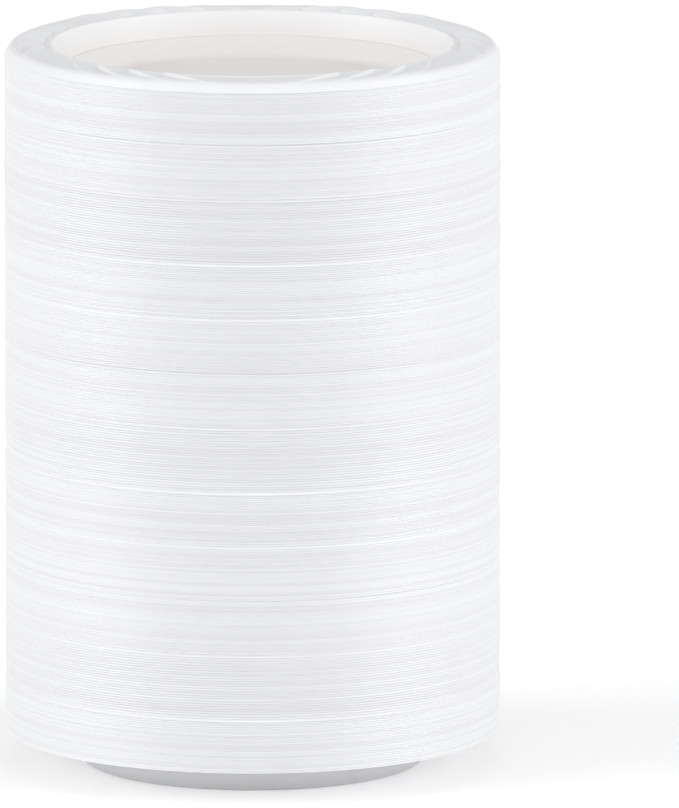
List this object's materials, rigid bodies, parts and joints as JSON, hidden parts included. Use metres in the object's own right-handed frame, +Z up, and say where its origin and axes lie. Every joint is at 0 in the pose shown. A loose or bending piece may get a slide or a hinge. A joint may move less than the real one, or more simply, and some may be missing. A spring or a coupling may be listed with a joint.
{
  "type": "stack of plastic plates",
  "caption": "Tall stack of thin round white disposable plates with ribbed rims, nested one in another in sleeves",
  "frame": {"origin": "middle of the lowest plate's base, on the surface that the stack stands on", "axes": "+Z up along the stack, -Y towards the front, +X to the right seen from the front"},
  "size_m": [0.2286, 0.2286, 0.3361],
  "materials": {
    "white_plastic": "thermoformed polystyrene sheet, smooth, slightly glossy"
  },
  "bodies": {
    "root": {"top_plate": "white_plastic", "bottom_plate": "white_plastic", "plate_02": "white_plastic", "plate_03": "white_plastic", "plate_04": "white_plastic", "plate_05": "white_plastic", "plate_06": "white_plastic", "plate_07": "white_plastic", "plate_08": "white_plastic", "plate_09": "white_plastic", "plate_10": "white_plastic", "plate_11": "white_plastic", "plate_12": "white_plastic", "plate_13": "white_plastic", "plate_14": "white_plastic", "plate_15": "white_plastic", "plate_16": "white_plastic", "plate_17": "white_plastic", "plate_18": "white_plastic", "plate_19": "white_plastic", "plate_20": "white_plastic", "plate_21": "white_plastic", "plate_22": "white_plastic", "plate_23": "white_plastic", "plate_24": "white_plastic", "plate_25": "white_plastic", "sleeve_02": "white_plastic", "sleeve_03": "white_plastic", "sleeve_04": "white_plastic", "sleeve_05": "white_plastic", "sleeve_06": "white_plastic", "sleeve_07": "white_plastic", "sleeve_08": "white_plastic", "sleeve_09": "white_plastic", "sleeve_10": "white_plastic", "sleeve_11": "white_plastic", "sleeve_12": "white_plastic"}
  },
  "joints": []
}
